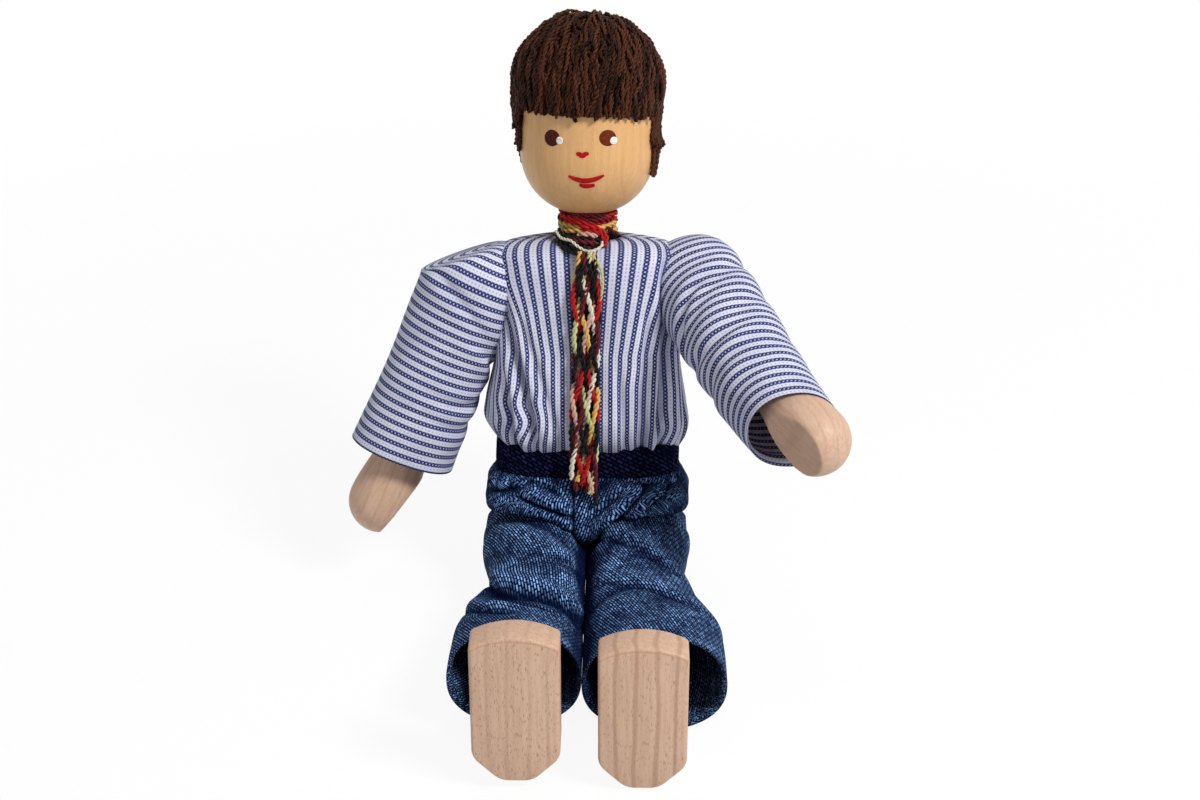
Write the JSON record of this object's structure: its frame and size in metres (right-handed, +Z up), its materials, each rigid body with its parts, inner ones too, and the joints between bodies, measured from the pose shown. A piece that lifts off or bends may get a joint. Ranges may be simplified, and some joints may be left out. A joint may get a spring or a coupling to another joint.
{
  "type": "miniature doll",
  "caption": "Jointed wooden miniature doll with yarn hair, striped shirt, braided tie and blue trousers, sitting with its legs straight out.",
  "frame": {"origin": "on the floor under the hip axle, on the flat underside of the trousers where the doll sits", "axes": "+Z up, the doll faces -Y, its own left hand is towards +X"},
  "size_m": [0.0778, 0.0839, 0.0917],
  "materials": {
    "maple": "satin",
    "beech": "sanded",
    "hair_yarn": "twisted yarn",
    "tie_braid": "braided yarn",
    "shirting": "woven stripe",
    "webbing": "woven band",
    "denim": "light denim"
  },
  "bodies": {
    "torso": {"torso_block": "beech", "neck_dowel": "beech", "hip_axle": "beech", "shirt_body": "shirting", "waistband": "webbing", "trouser_seat": "denim", "tie_neck_loop": "tie_braid", "tie_knot": "tie_braid", "tie_tail": "tie_braid"},
    "head": {"head": "maple", "hair_fringe": "hair_yarn", "hair_back": "hair_yarn", "hair_side_left": "hair_yarn", "hair_side_right": "hair_yarn"},
    "arm_left": {"arm_left": "beech", "shoulder_peg_left": "beech", "sleeve_left": "shirting"},
    "arm_right": {"arm_right": "beech", "shoulder_peg_right": "beech", "sleeve_right": "shirting"},
    "leg_left": {"leg_left": "beech", "ankle_dowel_left": "beech", "foot_left": "beech", "trouser_leg_left": "denim"},
    "leg_right": {"leg_right": "beech", "ankle_dowel_right": "beech", "foot_right": "beech", "trouser_leg_right": "denim"}
  },
  "joints": [
    {"name": "head_turn", "type": "hinge", "parent": "torso", "child": "head", "pos_m": [0, 0.0103, 0.06001], "axis": [0, 0.1908, 0.9816], "range_deg": [-80, 80]},
    {"name": "shoulder_left", "type": "hinge", "parent": "torso", "child": "arm_left", "pos_m": [0.0171, 0.00811, 0.04872], "axis": [-1, 0, 0], "range_deg": [-104, 86], "deforming": ["sleeve_left"]},
    {"name": "shoulder_right", "type": "hinge", "parent": "torso", "child": "arm_right", "pos_m": [-0.0171, 0.00811, 0.04872], "axis": [-1, 0, 0], "range_deg": [-43, 147], "deforming": ["sleeve_right"]},
    {"name": "hip_left", "type": "hinge", "parent": "torso", "child": "leg_left", "pos_m": [0, 0, 0.007], "axis": [1, 0, 0], "range_deg": [-12, 92]},
    {"name": "hip_right", "type": "hinge", "parent": "torso", "child": "leg_right", "pos_m": [0, 0, 0.007], "axis": [1, 0, 0], "range_deg": [-10.8, 93.2]}
  ]
}
